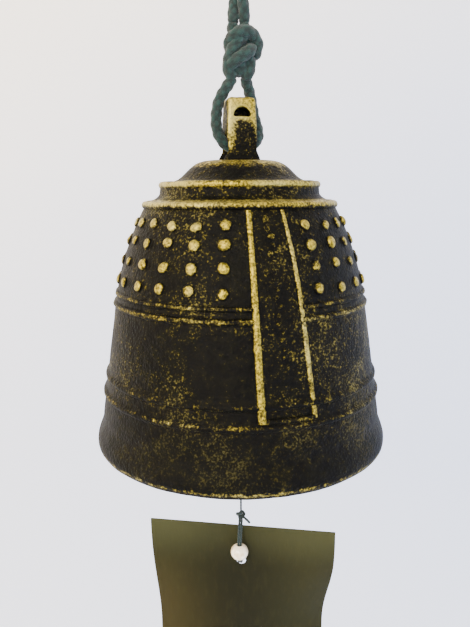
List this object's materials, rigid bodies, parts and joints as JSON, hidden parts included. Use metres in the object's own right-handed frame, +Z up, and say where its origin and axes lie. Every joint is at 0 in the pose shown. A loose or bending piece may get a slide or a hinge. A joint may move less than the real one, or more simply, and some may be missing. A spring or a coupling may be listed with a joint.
{
  "type": "wind bell",
  "caption": "Small wind bell in the form of a temple bell, hung by a knotted cord from a screw hook, with a clapper inside and a paper wind card below.",
  "frame": {"origin": "middle of the hook's flange where it meets the ceiling, on the screw's axis", "axes": "+Z up along the screw, +Y towards the back, -Y towards the sash that faces forward, +X to the right"},
  "size_m": [0.065, 0.065, 0.2954],
  "materials": {
    "hook_brass": "satin",
    "teal_cord": "matte",
    "patinated_brass": "satin",
    "staple_brass": "satin",
    "dark_thread": "matte",
    "clapper_brass": "satin",
    "bead_cream": "gloss",
    "olive_card": "matte"
  },
  "bodies": {
    "hook": {"ceiling_hook": "hook_brass"},
    "cord": {"hanging_cord": "teal_cord"},
    "sling": {"cord_knot": "teal_cord", "bell_sling": "teal_cord"},
    "bell": {"bell_casting": "patinated_brass", "clapper_staple": "staple_brass", "staple_loop": "dark_thread"},
    "thread_top": {"staple_knot": "dark_thread"},
    "clapper": {"clapper_thread": "dark_thread", "clapper": "clapper_brass"},
    "thread_middle": {"stop_knot": "dark_thread"},
    "thread_lower": {"strip_thread": "dark_thread"},
    "card_hanger": {"strip_knot": "dark_thread", "card_ties": "dark_thread", "back_knot": "dark_thread"},
    "bead": {"bead": "bead_cream"},
    "card": {"wind_card": "olive_card"}
  },
  "joints": [
    {"name": "cord_swing", "type": "hinge", "parent": "hook", "child": "cord", "pos_m": [0, 0, -0.02], "axis": [0, 1, 0], "range_deg": [-45, 45]},
    {"name": "cord_twist", "type": "hinge", "parent": "cord", "child": "sling", "pos_m": [0, 0, -0.04], "axis": [0, 0, 1], "range_deg": [-180, 180]},
    {"name": "bell_swing", "type": "hinge", "parent": "sling", "child": "bell", "pos_m": [0, 0, -0.0656], "axis": [1, 0, 0], "range_deg": [-50, 50]},
    {"name": "clapper_turn", "type": "hinge", "parent": "bell", "child": "thread_top", "pos_m": [0, 0, -0.0824], "axis": [0, 0, 1], "continuous": true},
    {"name": "clapper_swing", "type": "hinge", "parent": "thread_top", "child": "clapper", "pos_m": [0, 0, -0.0824], "axis": [1, 0, 0], "range_deg": [-21.5, 21.5]},
    {"name": "strip_turn", "type": "hinge", "parent": "clapper", "child": "thread_middle", "pos_m": [0, 0, -0.1211], "axis": [0, 0, 1], "continuous": true},
    {"name": "strip_swing", "type": "hinge", "parent": "thread_middle", "child": "thread_lower", "pos_m": [0, 0, -0.1211], "axis": [0.9272, -0.3746, 0], "range_deg": [-30, 30]},
    {"name": "card_flap", "type": "hinge", "parent": "thread_lower", "child": "card_hanger", "pos_m": [0, 0, -0.1507], "axis": [0.9272, -0.3746, 0], "range_deg": [-45, 45]},
    {"name": "bead_turn", "type": "hinge", "parent": "card_hanger", "child": "bead", "pos_m": [-0.00097, -0.00241, -0.1588], "axis": [0, 0, 1], "continuous": true},
    {"name": "card_sway", "type": "hinge", "parent": "card_hanger", "child": "card", "pos_m": [0, 0, -0.1626], "axis": [0.3746, 0.9272, 0], "range_deg": [-30, 30]}
  ]
}
